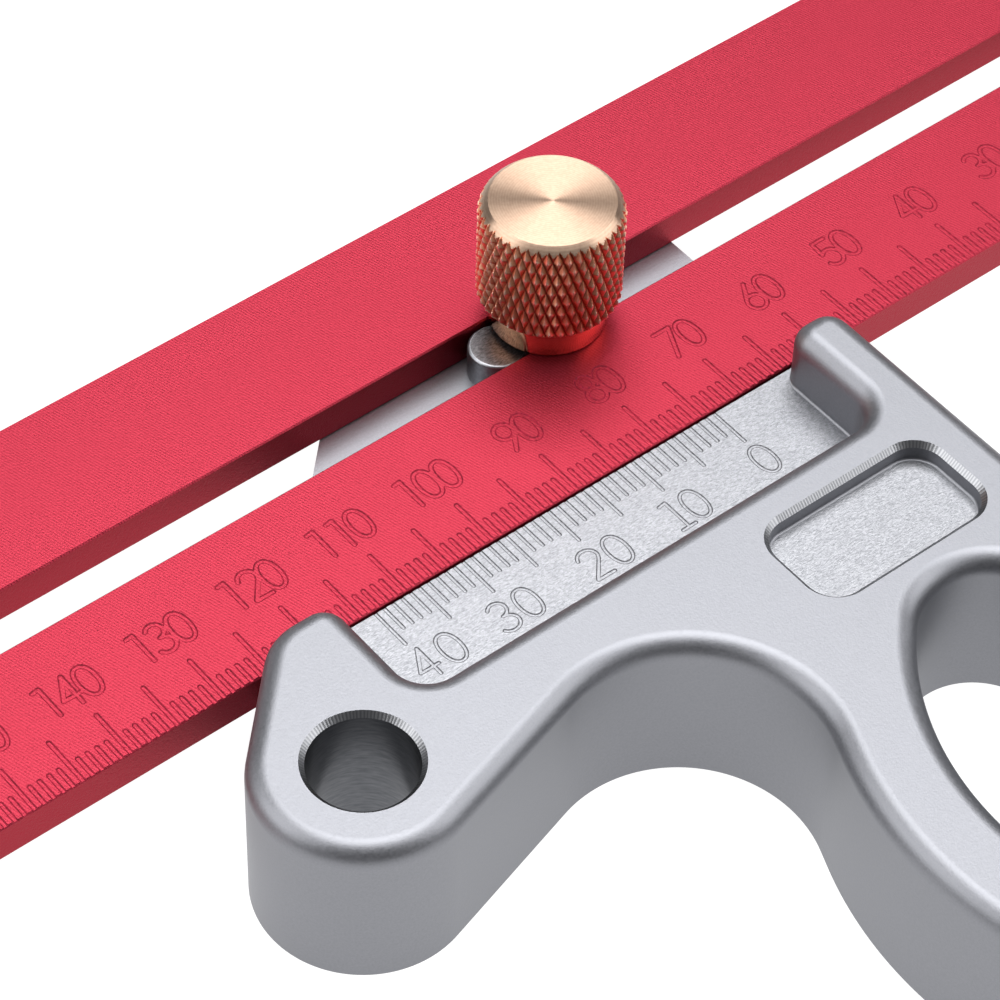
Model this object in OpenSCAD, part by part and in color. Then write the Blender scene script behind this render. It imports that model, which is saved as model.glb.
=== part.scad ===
// Sliding angle ruler for woodworking: a slotted ruler clamped in a machined stock
// that has a square fence, a mitre fence and a finger loop.
// Millimetres, +Z up. The origin lies where the clamp screw's axis meets the base.
// X runs along the ruler towards the square fence, Y away from the finger loop.

/* [Stock] */
// Overall thickness of the stock
stock_h = 17; // [15:0.5:22]
// Thickness of the floor under the ruler
floor_h = 7; // [6:0.5:8]
// Distance of the square fence from the clamp axis
fence_x = 18.5; // [18:0.5:24]
// Radius of the rolled edge round the top
edge_r = 1.8; // [0.8:0.1:1.9]
// Radius of the floor's corners behind the ruler
floor_corner_r = 2; // [1.5:0.5:4]

/* [Finger loop] */
// Outer radius of the loop, a half round whose centre lies in the square fence
loop_r = 37.8; // [35:0.1:38.5]
// Width of the loop's curved rim
loop_rim = 8.7; // [8.1:0.1:11]
// Thickness of the straight wall behind the square fence
fence_wall = 7.6; // [6.5:0.1:10]
// Distance of the loop's centre in front of the clamp axis
loop_y = 74.2; // [74:0.1:84]
// Radius of the two corners of the loop's opening
loop_corner_r = 7.2; // [6.6:0.1:9]
// Radius of the loop's foot, where it runs into the fence
foot_r = 6; // [3:0.5:10]

/* [Thumb scallop] */
// Radius of the scallop between lug and loop
scallop_r = 12.7; // [9:0.1:13.5]
// Angle of the scallop's centre above the loop's middle line
scallop_angle = 24.5; // [22:0.5:28]

/* [Hanging lug] */
// Distance of the hole to the left of the clamp axis
lug_x = 49.6; // [48:0.1:56]
// Distance of the hole in front of the clamp axis
lug_y = 35.8; // [35:0.1:37.5]
// Radius of the lug's round end
lug_r = 10.1; // [9:0.1:12]
// Diameter of the hanging hole
lug_hole_d = 10; // [6:0.5:12]
// Chamfer at both ends of the hanging hole
lug_hole_chamfer = 0.5; // [0.3:0.1:1]

/* [Scale window] */
// Width of the window over the scale platform
window_w = 53.4; // [48:0.1:54]
// Width of the horn between the window and the square fence
horn_w = 5.9; // [5:0.1:8]
// Depth of the platform from the ruler's edge
window_depth = 13; // [11:0.5:14]
// Depth of the platform below the ruler's top
platform_drop = 0.4; // [0.2:0.1:1]
// Radius of the window's inner corners
window_corner_r = 3.2; // [2.5:0.1:5]
// Radius of the horns' tips
horn_r = 2.4; // [2.3:0.1:2.8]
// Radius where the mitre fence meets the lug's horn
mitre_horn_r = 6; // [3:0.5:6]

/* [Recess] */
// Length of the plain recess
recess_w = 19.8; // [12:0.1:20]
// Width of the recess
recess_d = 10.2; // [6:0.1:11]
// Depth of the recess
recess_h = 2; // [0.5:0.1:4]
// Corner radius of the recess
recess_r = 3; // [1:0.5:3]
// Chamfer round the recess
recess_chamfer = 0.5; // [0.2:0.1:0.8]
// Land between the recess and the fence
recess_fence_land = 5.2; // [4.5:0.1:7]
// Land between the recess and the scale window
recess_window_land = 4.6; // [4:0.1:5.4]

/* [Ruler] */
// Length of the ruler
ruler_l = 200; // [180:5:400]
// Width of each rail beside the slot
rail_w = 16.2; // [14:0.1:18]
// Thickness of the ruler
ruler_h = 4; // [3:0.5:5]
// Width of the slot
slot_w = 6; // [5.9:0.1:8]
// Web left at each end of the slot
slot_end = 10; // [6:0.5:25]
// Length that stands out past the square fence
ruler_out = 59.4; // [0:0.1:80]
// Corner radius at the ruler's ends
ruler_corner_r = 1.5; // [1:0.1:4]
// Chamfer along the ruler's edges
ruler_chamfer = 0.3; // [0.1:0.05:0.5]
// Gap between the ruler's edge and the stock
ruler_gap = 0.15; // [0.1:0.05:0.3]

/* [Clamp] */
// Diameter over the knob's knurl
knob_d = 14; // [13:0.5:20]
// Height of the knob
knob_h = 15; // [12:0.5:20]
// Diameter of the knob's plain collar
collar_d = 12; // [10:0.5:12]
// Height of the collar
collar_h = 3.4; // [2:0.1:5]
// Chamfer of the knob's rims
knob_chamfer = 0.4; // [0.3:0.1:1]
// Ridges of the diamond knurl round the knob
knurl_count = 42; // [24:1:60]
// Depth of the knurl
knurl_depth = 0.35; // [0.2:0.05:0.4]
// Step from the knurl's grooves in to the crown
crown_step = 0.05; // [0.05:0.05:0.5]
// Height of one diamond of the knurl
knurl_pitch = 1.45; // [1:0.05:3]
// Diameter of the clamp stud
stud_d = 5; // [4:0.5:5.5]
// Depth of the stud in the stock's floor
stud_depth = 5; // [4:0.1:5]
// Depth of the stud in the knob
stud_grip = 10; // [6:0.5:11]
// Radial running gap of the stud in its bores
stud_gap = 0.05; // [0.02:0.01:0.1]
// Gap beyond each end of the stud
stud_end_gap = 0.4; // [0.2:0.1:0.8]

/* [Guide pin] */
// Diameter of the guide pin
pin_d = 5.8; // [4:0.1:5.8]
// Distance of the pin from the clamp axis
pin_x = 6.1; // [6:0.1:20]
// Depth of the pin in the floor
pin_depth = 5; // [3:0.1:5.5]
// Depth of the pin's end below the ruler's top
pin_drop = 0.6; // [0.2:0.1:1.5]
// Chamfer of the pin's end
pin_chamfer = 0.45; // [0.2:0.05:0.8]

/* [Hidden] */
$fn = 96;

// Overlap that lets a cut run past a face
lap = 1;
// Angle at which a rolled edge leaves the faces it joins
roll_start = 8;
// How far the round of a corner overruns the lines that meet it, so that they cross and nothing is tangent
bite = 0.02;
// Size of the cap that encloses a round, and of what is cut off outside the round, in radii
cap_size = 3;
cut_size = 5;
// Where the cap's corners and the cut's corners lie, as shares of the corner's turn
cap_shares = [0.3, 0.7];
cut_shares = [0 : 0.25 : 1];

ruler_w = 2 * rail_w + slot_w;
ruler_x = fence_x + ruler_out;
ruler_top = floor_h + ruler_h;
platform_z = ruler_top - platform_drop;
// The stock's side of the ruler's channel
channel_y = -ruler_w / 2 - ruler_gap;
window_right = fence_x - horn_w;
window_left = window_right - window_w;
window_y = channel_y - window_depth;
opening_x = fence_x - fence_wall;
mitre_offset = lug_x - lug_y + lug_r * sqrt(2);

// Angles and points of a belt run anticlockwise round corner circles [x, y, r]:
// r is above zero where the outline bulges out, and below zero where it is hollow.
function span(a, b) = [b.x - a.x, b.y - a.y];
function lean(a, b) = acos((a.z - b.z) / norm(span(a, b)));
function facing(a, b) = atan2(span(a, b).y, span(a, b).x) - lean(a, b);
function ray(angle) = [cos(angle), sin(angle)];
function touch(c, angle) = [c.x, c.y] + c.z * ray(angle);
function around(list, i) = list[(i + len(list)) % len(list)];
function facing_in(list, i) = facing(around(list, i - 1), list[i]);
function facing_out(list, i) = facing(list[i], around(list, i + 1));
function wrap(angle) = angle - 360 * floor(angle / 360);
function turn(list, i) = wrap(sign(list[i].z) * (facing_out(list, i) - facing_in(list, i)));
function enter(list, i) = touch(list[i], facing_in(list, i));
function leave(list, i) = touch(list[i], facing_out(list, i));
function run(list, i) = norm(enter(list, (i + 1) % len(list)) - leave(list, i));

// The round of a corner, the angle past its end where it is clear of the line, and that length on the line
function arc_r(c) = abs(c.z) + bite;
function clear_angle(c) = 2 * acos(abs(c.z) / arc_r(c));
function overrun(c) = c.z > 0 ? arc_r(c) * sin(clear_angle(c)) : 0;

// A belt's sharp outline: at a bulging corner the lines run on and a cap encloses the round
function sharp_corner(list, i) =
    let (c = list[i], first = facing_in(list, i), last = facing_out(list, i), w = turn(list, i))
    c.z < 0 ? [enter(list, i), leave(list, i)] : [
        enter(list, i) + overrun(c) * ray(first + 90),
        for (share = cap_shares) [c.x, c.y] + cap_size * c.z * ray(first + share * w),
        leave(list, i) - overrun(c) * ray(last + 90)
    ];

// What lies outside the round of a bulging corner, turned by w from the angle first
module outside_round(c, first, w) {
    difference() {
        translate([c.x, c.y])
            polygon([[0, 0], for (share = cut_shares) cut_size * c.z * ray(first + share * w)]);
        translate([c.x, c.y]) circle(arc_r(c));
    }
}

// Flat region inside a belt
module outline(list) {
    difference() {
        polygon([for (i = [0 : len(list) - 1]) each sharp_corner(list, i)]);
        for (i = [0 : len(list) - 1])
            if (list[i].z > 0) outside_round(list[i], facing_in(list, i), turn(list, i));
            else translate([list[i].x, list[i].y]) circle(arc_r(list[i]));
    }
}

// Sweep of a profile round corner i of a belt at height z. The profile has x outwards from the wall and y up.
module corner_sweep(list, i, z) {
    c = list[i];
    spare = c.z > 0 ? 0 : clear_angle(c);
    first = c.z > 0 ? facing_in(list, i) : facing_out(list, i) + 180;
    translate([c.x, c.y, z]) rotate(first - spare) rotate_extrude(angle = turn(list, i) + 2 * spare)
        translate([arc_r(c), 0]) mirror([c.z > 0 ? 0 : 1, 0]) children();
}

// Sweep of a profile along the line that leaves corner i
module line_sweep(list, i, z) {
    start = overrun(list[i]);
    length = run(list, i) + overrun(around(list, i + 1));
    translate([each leave(list, i), z]) rotate([90, 0, facing_out(list, i)])
        translate([0, 0, -length]) linear_extrude(length + start) children();
}

// Cuts the second child's profile off the first child, all round a belt at height z
module trim(list, z) {
    difference() {
        children(0);
        for (i = [0 : len(list) - 1]) {
            corner_sweep(list, i, z) children(1);
            line_sweep(list, i, z) children(1);
        }
    }
}

// What a rolled edge of radius r takes off: a quarter round whose arc meets both faces at roll_start
module roll_profile(r) {
    roll_r = r / (cos(roll_start) - sin(roll_start));
    centre = -roll_r * cos(roll_start);
    difference() {
        translate([centre, centre]) square(lap - centre);
        translate([centre, centre]) circle(roll_r);
    }
}

// What a chamfer of width c takes off
module chamfer_profile(c) {
    w = c + lap;
    polygon([[-w, lap], [lap, -w], [lap, lap]]);
}

function box_belt(x0, x1, y0, y1, r) = [
    [x1 - r, y0 + r, r], [x1 - r, y1 - r, r], [x0 + r, y1 - r, r], [x0 + r, y0 + r, r]
];

// Corner circles of the stock. Circles that would touch stand apart, and a short line joins them.
apart = 2 * bite;
foot = [fence_x - foot_r, -loop_y - sqrt(pow(loop_r - foot_r + apart, 2) - pow(foot_r, 2)), foot_r];
loop_circle = [fence_x, -loop_y, loop_r];
scallop_reach = loop_r + scallop_r + apart;
scallop = [
    fence_x - scallop_reach * cos(scallop_angle),
    -loop_y + scallop_reach * sin(scallop_angle),
    -scallop_r
];
lug_circle = [-lug_x, -lug_y, lug_r];
fence_horn = [fence_x - horn_r, channel_y - horn_r, horn_r];
window_horn = [window_right + horn_r, channel_y - horn_r, horn_r];
window_corners = [
    [window_right - window_corner_r, window_y + window_corner_r, -window_corner_r],
    [window_left + window_corner_r, window_y + window_corner_r, -window_corner_r]
];
lug_horn = [window_left - horn_r, channel_y - horn_r, horn_r];
// Circle that touches the mitre fence and a line square to Y at height y
function mitre_circle(y, r) = [y - r - mitre_offset + r * sqrt(2), y - r, r];
mitre_horn = mitre_circle(channel_y, mitre_horn_r);
top_belt = [
    lug_circle, scallop, loop_circle, foot, fence_horn, window_horn, each window_corners, lug_horn, mitre_horn
];
floor_belt = [
    lug_circle, scallop, loop_circle, foot,
    [fence_x - floor_corner_r, ruler_w / 2 - floor_corner_r, floor_corner_r],
    mitre_circle(ruler_w / 2, floor_corner_r)
];

opening_r = loop_r - loop_rim;
opening_rise = sqrt(pow(opening_r - loop_corner_r + apart, 2) - pow(fence_wall + loop_corner_r, 2));
opening_belt = [
    [opening_x - loop_corner_r, -loop_y - opening_rise, loop_corner_r],
    [opening_x - loop_corner_r, -loop_y + opening_rise, loop_corner_r],
    [fence_x, -loop_y, opening_r]
];

recess_right = fence_x - recess_fence_land;
recess_top = window_y - recess_window_land;
recess_belt = box_belt(recess_right - recess_w, recess_right, recess_top - recess_d, recess_top, recess_r);

ruler_belt = box_belt(ruler_x - ruler_l, ruler_x, -ruler_w / 2, ruler_w / 2, ruler_corner_r);
slot_belt = [
    [ruler_x - slot_end - slot_w / 2, 0, slot_w / 2],
    [ruler_x - ruler_l + slot_end + slot_w / 2, 0, slot_w / 2]
];

// Round hole along Z with a chamfer at both ends
module chamfered_hole(r, z0, z1, c) {
    translate([0, 0, z0 - lap]) cylinder(r = r, h = z1 - z0 + 2 * lap);
    translate([0, 0, z0 - lap]) cylinder(r1 = r + c + lap, r2 = r, h = c + lap);
    translate([0, 0, z1 - c]) cylinder(r1 = r, r2 = r + c + lap, h = c + lap);
}

// The ruler's channel across the stock, with the outer tips of the two horns rounded
module channel_cut() {
    far = ruler_w + loop_r;
    translate([-far, channel_y]) square([2 * far, far]);
    outside_round(fence_horn, 0, 90);
    outside_round(mitre_horn, 90, 45);
}

// The window over the scale platform, with the inner tips of the two horns rounded
module window_cut() {
    outline(box_belt(window_left, window_right, window_y, window_y + ruler_w, window_corner_r));
    outside_round(window_horn, 90, 90);
    outside_round(lug_horn, 0, 90);
}

// The stock with square edges
module stock_blank() {
    difference() {
        linear_extrude(stock_h) outline(floor_belt);
        translate([0, 0, floor_h]) linear_extrude(stock_h) channel_cut();
        translate([0, 0, platform_z]) linear_extrude(stock_h) window_cut();
        translate([0, 0, -lap]) linear_extrude(stock_h + 2 * lap) outline(opening_belt);
        translate([0, 0, stock_h - recess_h]) linear_extrude(recess_h + lap) outline(recess_belt);
    }
}

// The stock with its top edges rolled and the recess chamfered
module stock_edged() {
    trim(recess_belt, stock_h) {
        trim(opening_belt, stock_h) {
            trim(top_belt, stock_h) {
                stock_blank();
                roll_profile(edge_r);
            }
            mirror([1, 0]) roll_profile(edge_r);
        }
        mirror([1, 0]) chamfer_profile(recess_chamfer);
    }
}

module stock() {
    color("silver") difference() {
        stock_edged();
        translate([-lug_x, -lug_y, 0]) chamfered_hole(lug_hole_d / 2, 0, stock_h, lug_hole_chamfer);
        translate([0, 0, floor_h - stud_depth - stud_end_gap])
            cylinder(d = stud_d + 2 * stud_gap, h = stud_depth + stud_end_gap + lap);
        translate([-pin_x, 0, floor_h - pin_depth]) cylinder(d = pin_d, h = pin_depth + lap);
    }
}

module ruler_blank() {
    difference() {
        translate([0, 0, floor_h]) linear_extrude(ruler_h) outline(ruler_belt);
        translate([0, 0, floor_h - lap]) linear_extrude(ruler_h + 2 * lap) outline(slot_belt);
    }
}

// The slotted ruler with its top and bottom edges chamfered
module ruler() {
    color("crimson") trim(slot_belt, floor_h) {
        trim(slot_belt, ruler_top) {
            trim(ruler_belt, floor_h) {
                trim(ruler_belt, ruler_top) {
                    ruler_blank();
                    chamfer_profile(ruler_chamfer);
                }
                mirror([0, 1]) chamfer_profile(ruler_chamfer);
            }
            mirror([1, 0]) chamfer_profile(ruler_chamfer);
        }
        rotate(180) chamfer_profile(ruler_chamfer);
    }
}

// Diamond knurl between two heights: pyramids whose peaks reach radius r, on a grid of half
// diamonds, with the foot of each pyramid along the grooves that cross between the peaks
module knurl(r, z0, z1) {
    columns = 2 * knurl_count;
    rows = 2 * round((z1 - z0) / knurl_pitch);
    function ring(j, i) = j * columns + (i % columns);
    function deep(j, i) = (i + j) % 2 == 0;
    function vertex(j, i) = let (d = r - (deep(j, i) ? knurl_depth : 0), a = 360 * i / columns)
        [d * cos(a), d * sin(a), z0 + (z1 - z0) * j / rows];
    foot_point = (rows + 1) * columns;
    polyhedron(
        points = [
            for (j = [0 : rows]) for (i = [0 : columns - 1]) vertex(j, i),
            [0, 0, z0], [0, 0, z1]
        ],
        faces = [
            for (j = [0 : rows - 1]) for (i = [0 : columns - 1]) each deep(j, i)
                ? [[ring(j, i), ring(j + 1, i + 1), ring(j, i + 1)],
                   [ring(j, i), ring(j + 1, i), ring(j + 1, i + 1)]]
                : [[ring(j, i), ring(j + 1, i), ring(j, i + 1)],
                   [ring(j, i + 1), ring(j + 1, i), ring(j + 1, i + 1)]],
            for (i = [0 : columns - 1]) [foot_point, ring(0, i), ring(0, i + 1)],
            for (i = [0 : columns - 1]) [foot_point + 1, ring(rows, i + 1), ring(rows, i)]
        ]
    );
}

// Turned collar, knurled grip and chamfered crown, bored for the stud
module clamp_knob() {
    crown_z = knob_h - knob_chamfer;
    crown_r = knob_d / 2 - knurl_depth - crown_step;
    color("burlywood") translate([0, 0, ruler_top]) difference() {
        union() {
            cylinder(d1 = collar_d - 2 * knob_chamfer, d2 = collar_d, h = knob_chamfer);
            translate([0, 0, knob_chamfer]) cylinder(d = collar_d, h = collar_h - knob_chamfer + lap);
            knurl(knob_d / 2, collar_h, crown_z);
            translate([0, 0, crown_z - lap]) cylinder(r = crown_r, h = lap);
            translate([0, 0, crown_z]) cylinder(r1 = crown_r, r2 = crown_r - knob_chamfer, h = knob_chamfer);
        }
        translate([0, 0, -lap]) cylinder(d = stud_d + 2 * stud_gap, h = stud_grip + stud_end_gap + lap);
    }
}

module clamp_stud() {
    color("slategray") translate([0, 0, floor_h - stud_depth])
        cylinder(d = stud_d, h = stud_depth + ruler_h + stud_grip);
}

module guide_pin() {
    end_z = pin_depth + ruler_h - pin_drop;
    color("dimgray") translate([-pin_x, 0, floor_h - pin_depth]) rotate_extrude() polygon([
        [0, 0], [pin_d / 2, 0], [pin_d / 2, end_z - pin_chamfer], [pin_d / 2 - pin_chamfer, end_z], [0, end_z]
    ]);
}

stock();
ruler();
clamp_knob();
clamp_stud();
guide_pin();
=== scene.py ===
import math

import bmesh
import bpy
from mathutils import Matrix, Vector
from mathutils.geometry import delaunay_2d_cdt


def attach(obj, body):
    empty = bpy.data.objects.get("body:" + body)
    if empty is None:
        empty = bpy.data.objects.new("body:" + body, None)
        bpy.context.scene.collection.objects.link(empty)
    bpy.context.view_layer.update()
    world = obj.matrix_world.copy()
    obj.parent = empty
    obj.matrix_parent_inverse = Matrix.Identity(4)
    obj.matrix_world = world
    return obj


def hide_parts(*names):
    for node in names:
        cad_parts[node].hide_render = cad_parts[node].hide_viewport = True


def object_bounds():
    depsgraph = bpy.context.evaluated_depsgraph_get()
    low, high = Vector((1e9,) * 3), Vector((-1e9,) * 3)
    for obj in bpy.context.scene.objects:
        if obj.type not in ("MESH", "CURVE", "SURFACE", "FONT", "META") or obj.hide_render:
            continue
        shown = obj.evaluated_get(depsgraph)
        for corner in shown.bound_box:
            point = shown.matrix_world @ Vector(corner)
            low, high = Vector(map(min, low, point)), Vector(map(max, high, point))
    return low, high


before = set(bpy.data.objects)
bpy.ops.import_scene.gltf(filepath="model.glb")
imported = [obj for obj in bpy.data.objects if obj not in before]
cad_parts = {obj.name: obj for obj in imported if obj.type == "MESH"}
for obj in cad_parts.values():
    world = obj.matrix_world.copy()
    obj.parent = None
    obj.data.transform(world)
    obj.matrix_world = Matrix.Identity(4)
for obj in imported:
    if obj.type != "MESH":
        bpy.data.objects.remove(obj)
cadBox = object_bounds()
scene = bpy.context.scene
mm = 0.001
mergeGap = 0.002 * mm  # points of a finished mesh that are closer than this become one
sliverGap = 0.0005 * mm  # and faces narrower than this are dissolved
pointDigits = 4  # corners of a shell that agree to this many decimals of a mm are one point


def hexColour(code):  # sRGB hex to the linear values that the shader takes
    parts = [int(code[i:i + 2], 16) / 255 for i in (0, 2, 4)]
    return [c / 12.92 if c <= 0.04045 else ((c + 0.055) / 1.055) ** 2.4 for c in parts] + [1]


def feed(tree, node, inputs):  # links what is a socket and sets what is a value
    for key, value in inputs.items():
        if isinstance(value, bpy.types.NodeSocket):
            tree.links.new(value, node.inputs[key])
        else:
            node.inputs[key].default_value = value


def addNode(tree, kind, settings={}, inputs={}, stops=()):  # stops are (position, hex colour) along a ramp
    node = tree.nodes.new(kind)
    for name, value in settings.items():
        setattr(node, name, value)
    feed(tree, node, inputs)
    for stop in stops[1:-1]:
        node.color_ramp.elements.new(stop[0])
    for i, (position, code) in enumerate(stops):
        node.color_ramp.elements[i].position = position
        node.color_ramp.elements[i].color = hexColour(code)
    return node


def newMaterial(name):
    material = bpy.data.materials.new(name)
    material.use_nodes = True
    tree = material.node_tree
    tree.nodes.clear()
    shader = addNode(tree, "ShaderNodeBsdfPrincipled")
    addNode(tree, "ShaderNodeOutputMaterial", {}, {"Surface": shader.outputs[0]})
    place = addNode(tree, "ShaderNodeTexCoord").outputs["Object"]
    return material, tree, shader, place


def newObject(name, data, materials=()):
    for material in materials:
        data.materials.append(material)
    obj = bpy.data.objects.new(name, data)
    scene.collection.objects.link(obj)
    return obj


def putAt(obj, place, right, up, back):  # back points away from where a camera or a light looks
    obj.matrix_world = Matrix.Translation(place) @ Matrix((right, up, back)).transposed().to_4x4()


def evaluated(obj):  # plain mesh of an object with its modifiers, which are then removed
    graph = bpy.context.evaluated_depsgraph_get()
    mesh = bpy.data.meshes.new_from_object(obj.evaluated_get(graph))
    obj.modifiers.clear()
    return mesh


def carve(obj, cutter):
    cut = obj.modifiers.new("carve", "BOOLEAN")
    cut.operation = "DIFFERENCE"
    cut.solver = "EXACT"
    cut.object = cutter
    obj.data = evaluated(obj)
    bpy.data.objects.remove(cutter)


def smooth(mesh, sharp):  # soft shading that stays crisp where faces meet at more than this many degrees
    mesh.polygons.foreach_set("use_smooth", [True] * len(mesh.polygons))
    mesh.set_sharp_from_angle(angle=math.radians(sharp))


# An outline is a belt run anticlockwise round corner circles (x, y, radius), hollow where the radius is below zero.
# Its samples are (point, outward normal, distance along, corner), and the first comes again at the end.
def belt(corners, fineness=0.003):  # mm that a chord may stray from its arc
    def facing(a, b):
        along = Vector((b[0] - a[0], b[1] - a[1]))
        return math.atan2(along.y, along.x) - math.acos((a[2] - b[2]) / along.length)

    samples = []
    for i, (x, y, r) in enumerate(corners):
        start = facing(corners[i - 1], corners[i])
        way = math.copysign(1, r)
        turn = way * (facing(corners[i], corners[(i + 1) % len(corners)]) - start) % (2 * math.pi)
        steps = max(1, math.ceil(turn / (2 * math.acos(1 - fineness / abs(r)))))
        for k in range(steps + 1):
            angle = start + way * turn * k / steps
            nx, ny = math.cos(angle), math.sin(angle)
            samples.append((x + r * nx, y + r * ny, nx, ny, i))
    return measured(samples)


def ring(x, y, r, count=96):
    ways = [(math.cos(t), math.sin(t)) for t in [2 * math.pi * k / count for k in range(count)]]
    return measured([(x + r * nx, y + r * ny, nx, ny, 0) for nx, ny in ways])


def measured(samples):
    run, out = 0, []
    for i, (x, y, nx, ny, corner) in enumerate(samples + samples[:1]):
        if i:
            run += math.hypot(x - samples[i - 1][0], y - samples[i - 1][1])
        out.append((Vector((x, y)), Vector((nx, ny)), run, corner))
    return out


# A shell gathers faces with the true normal at each corner, so that curves run into flats without a blemish
def newShell():
    return {"ids": {}, "points": [], "faces": [], "normals": [], "along": [], "finish": []}


# A face's corners are (point in mm, normal, distance along), and the normals say which way it faces
def addFace(shell, corners, finish):
    first = corners[0][0]
    area = Vector()
    for a, b in zip(corners[1:], corners[2:]):
        area += (a[0] - first).cross(b[0] - first)
    if area.dot(sum((c[1] for c in corners), Vector())) < 0:
        corners = corners[::-1]
    ids, kept = [], []
    for point, normal, along in corners:
        spot = tuple(round(v, pointDigits) for v in point)
        index = shell["ids"].setdefault(spot, len(shell["points"]))
        if index == len(shell["points"]):
            shell["points"].append(point * mm)
        if index not in ids:
            ids.append(index)
            kept.append((normal.normalized(), along))
    if len(ids) > 2:
        shell["faces"].append(ids)
        shell["normals"] += [k[0] for k in kept]
        shell["along"] += [k[1] * mm for k in kept]
        shell["finish"].append(finish)


def addStrip(shell, rows, finish):
    for low, high in zip(rows, rows[1:]):
        for i in range(len(low) - 1):
            addFace(shell, [low[i], low[i + 1], high[i + 1], high[i]], finish)


def row(samples, side, inset, z, tilt):  # side is 1 on an outer wall and -1 in a hole, inset goes into the metal
    out, rise = side * math.cos(math.radians(tilt)), math.sin(math.radians(tilt))
    return [(Vector((*(p - n * (side * inset)), z)), Vector((*(n * out), rise)), run)
            for p, n, run, corner in samples]


def addBand(shell, samples, side, low, high, tilt, finish):  # straight band from one (inset, z) to another
    addStrip(shell, [row(samples, side, *low, tilt), row(samples, side, *high, tilt)], finish)


def addRound(shell, samples, side, r, z, angles, finish):  # quarter round that ends level at z, hollow if r < 0
    curve = [(r * (1 - math.cos(math.radians(t))), z - r * (1 - math.sin(math.radians(t))), t) for t in angles]
    addStrip(shell, [row(samples, side, *step) for step in curve], finish)


def filled(loops):  # triangles inside the loops, and which loops each one lies in
    points, faces = [], []
    for loop in loops:
        faces.append(list(range(len(points), len(points) + len(loop))))
        points += loop
    insideOnly, closeness = 1, 1e-5
    verts, edges, triangles, oldVerts, oldEdges, owners = delaunay_2d_cdt(points, [], faces, insideOnly, closeness)
    return verts, triangles, owners


def addFlat(shell, loops, z, up, finish):  # level face: the first loop is its outline and the others are holes
    verts, triangles, owners = filled(loops)
    for triangle, owner in zip(triangles, owners):
        if list(owner) == [0]:
            addFace(shell, [(Vector((*verts[i], z)), Vector((0, 0, up)), 0) for i in triangle], finish)


def loopOf(samples, side=1, inset=0):
    return [p - n * (side * inset) for p, n, run, corner in samples[:-1]]


def shellObject(name, shell, materials, normals=True):
    mesh = bpy.data.meshes.new(name)
    mesh.from_pydata(shell["points"], [], shell["faces"])
    obj = newObject(name, mesh, materials)
    mesh.polygons.foreach_set("material_index", [materials.index(finish) for finish in shell["finish"]])
    if normals:
        mesh.polygons.foreach_set("use_smooth", [True] * len(mesh.polygons))
        mesh.attributes.new("along", "FLOAT", "CORNER").data.foreach_set("value", shell["along"])
        mesh.normals_split_custom_set(shell["normals"])
    return obj


# Camera: the lens and place that put the scale marks where the photograph has them
cameraSetup = {
    "place": (-174.59, -199.90, 282.89),  # mm
    "heading": 40.29,  # degrees from +Y towards +X
    "down": 48.41,
    "roll": 2.02,
    "lens": 142.96,  # mm, as the sensor
    "sensor": 36,
    "clip": (0.01, 20),  # metres
}


def makeCamera(c):
    heading, down, roll = (math.radians(c[k]) for k in ("heading", "down", "roll"))
    forward = Vector((math.sin(heading) * math.cos(down), math.cos(heading) * math.cos(down), -math.sin(down)))
    side = Vector((math.cos(heading), -math.sin(heading), 0))
    right = side * math.cos(roll) + side.cross(forward) * math.sin(roll)
    data = bpy.data.cameras.new("camera")
    data.lens, data.sensor_width = c["lens"], c["sensor"]
    data.clip_start, data.clip_end = c["clip"]
    camera = newObject("camera", data)
    putAt(camera, Vector(c["place"]) * mm, right, right.cross(forward), -forward)
    scene.camera = camera


makeCamera(cameraSetup)
print("camera set")

# Studio: a pale floor under one long soft box that lies along the view, a weaker box on either side, a dim surround
studio = {
    "floor": 6.0,  # metres
    "floorColour": ("6c6c6c", "ffffff"),  # what it reflects and what it gives off
    "floorRoughness": 0.9,
    "glow": 1.0,
    "surround": ("d0d0d4", 0.13),  # colour and strength
    "boxes": [  # name, metres ahead of the object, metres to the right, height, size across and along, watts
        ("overheadBox", 0.46, 0.0, 1.20, (0.95, 1.30), 22.7),
        ("leftBox", -0.20, -1.08, 0.80, (1.10, 1.10), 11),
        ("rightBox", 0.10, 1.10, 0.80, (1.10, 1.10), 11),
    ],
}


def makeStudio(s):
    world = bpy.data.worlds.new("surround")
    world.use_nodes = True
    colour, strength = s["surround"]
    feed(world.node_tree, world.node_tree.nodes["Background"], {"Color": hexColour(colour), "Strength": strength})
    scene.world = world
    heading = math.radians(cameraSetup["heading"])
    ahead = Vector((math.sin(heading), math.cos(heading), 0))
    right = Vector((ahead.y, -ahead.x, 0))
    for name, forward, aside, height, size, watts in s["boxes"]:
        data = bpy.data.lights.new(name, "AREA")
        data.shape = "RECTANGLE"
        data.size, data.size_y = size
        data.energy = watts
        place = ahead * forward + right * aside + Vector((0, 0, height))
        down = -place.normalized() if aside else Vector((0, 0, -1))  # the side boxes face the object
        across = down.cross(ahead).normalized()
        putAt(newObject(name, data), place, -across, across.cross(down), -down)
    half, low = s["floor"] / 2, cadBox[0][2]
    mesh = bpy.data.meshes.new("floor")
    mesh.from_pydata([(-half, -half, low), (half, -half, low), (half, half, low), (-half, half, low)],
                     [], [(0, 1, 2, 3)])
    material, tree, shader, place = newMaterial("white acrylic sheet, lit from below")  # so it hardly shows a shadow
    reflected, given = (hexColour(code) for code in s["floorColour"])
    feed(tree, shader, {"Base Color": reflected, "Roughness": s["floorRoughness"], "Emission Color": given,
                        "Emission Strength": s["glow"]})
    floor = newObject("floor", mesh, [material])
    scene.view_settings.view_transform = "Standard"


makeStudio(studio)
print("studio set")

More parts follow.
